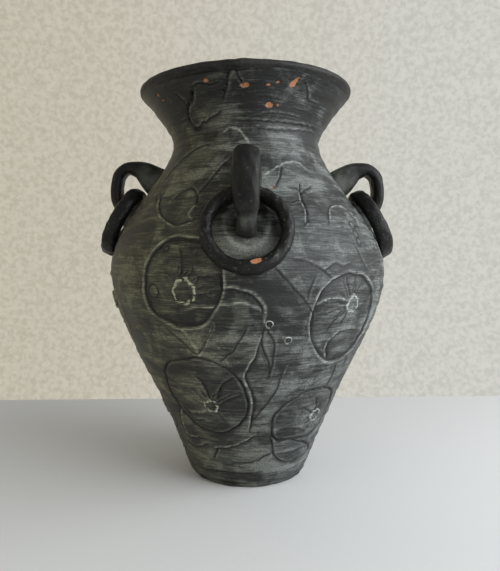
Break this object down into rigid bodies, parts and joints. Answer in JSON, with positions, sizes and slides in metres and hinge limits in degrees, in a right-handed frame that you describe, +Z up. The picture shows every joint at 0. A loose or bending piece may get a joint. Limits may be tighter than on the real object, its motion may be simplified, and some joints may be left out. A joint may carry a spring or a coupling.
{
  "type": "clay pot",
  "caption": "Round-bellied black clay pot with a flaring mouth, strap loops on the shoulder and a free-hanging clay ring in each loop",
  "frame": {"origin": "centre of the foot's underside, on the pot's axis", "axes": "+Z up along the pot's axis; the front loop points along -Y and the right loop along +X"},
  "size_m": [0.2724, 0.2767, 0.3525],
  "materials": {
    "foot_clay": "dark smoked clay, matt, worn grey at the edges",
    "belly_clay": "black slip under a grey-green rubbed wash, matt",
    "neck_clay": "near-black smoked clay with a faint dull sheen",
    "ornament_clay": "pale grey-green wash over black, cracked",
    "loop_clay": "near-black smoked clay, matt",
    "ring_clay": "near-black smoked clay, a little smoother"
  },
  "bodies": {
    "pot": {"base_dish": "foot_clay", "lower_wall": "belly_clay", "shoulder_wall": "belly_clay", "neck_collar": "neck_clay", "lip_coil": "neck_clay", "loop_front": "loop_clay", "loop_right": "loop_clay", "loop_back": "loop_clay", "loop_left": "loop_clay", "flower_buttons": "ornament_clay", "seed_pellets": "ornament_clay"},
    "ring_front_body": {"ring_front": "ring_clay"},
    "ring_right_body": {"ring_right": "ring_clay"},
    "ring_back_body": {"ring_back": "ring_clay"},
    "ring_left_body": {"ring_left": "ring_clay"}
  },
  "joints": [
    {"name": "ring_front_hinge", "type": "hinge", "parent": "pot", "child": "ring_front_body", "pos_m": [0, -0.11103, 0.2455], "axis": [-1, 0, 0], "range_deg": [0, 150]},
    {"name": "ring_right_hinge", "type": "hinge", "parent": "pot", "child": "ring_right_body", "pos_m": [0.10351, 0, 0.256], "axis": [0, -1, 0], "range_deg": [0, 150]},
    {"name": "ring_back_hinge", "type": "hinge", "parent": "pot", "child": "ring_back_body", "pos_m": [0, 0.10423, 0.255], "axis": [1, 0, 0], "range_deg": [0, 150]},
    {"name": "ring_left_hinge", "type": "hinge", "parent": "pot", "child": "ring_left_body", "pos_m": [-0.10136, 0, 0.259], "axis": [0, 1, 0], "range_deg": [0, 150]}
  ]
}
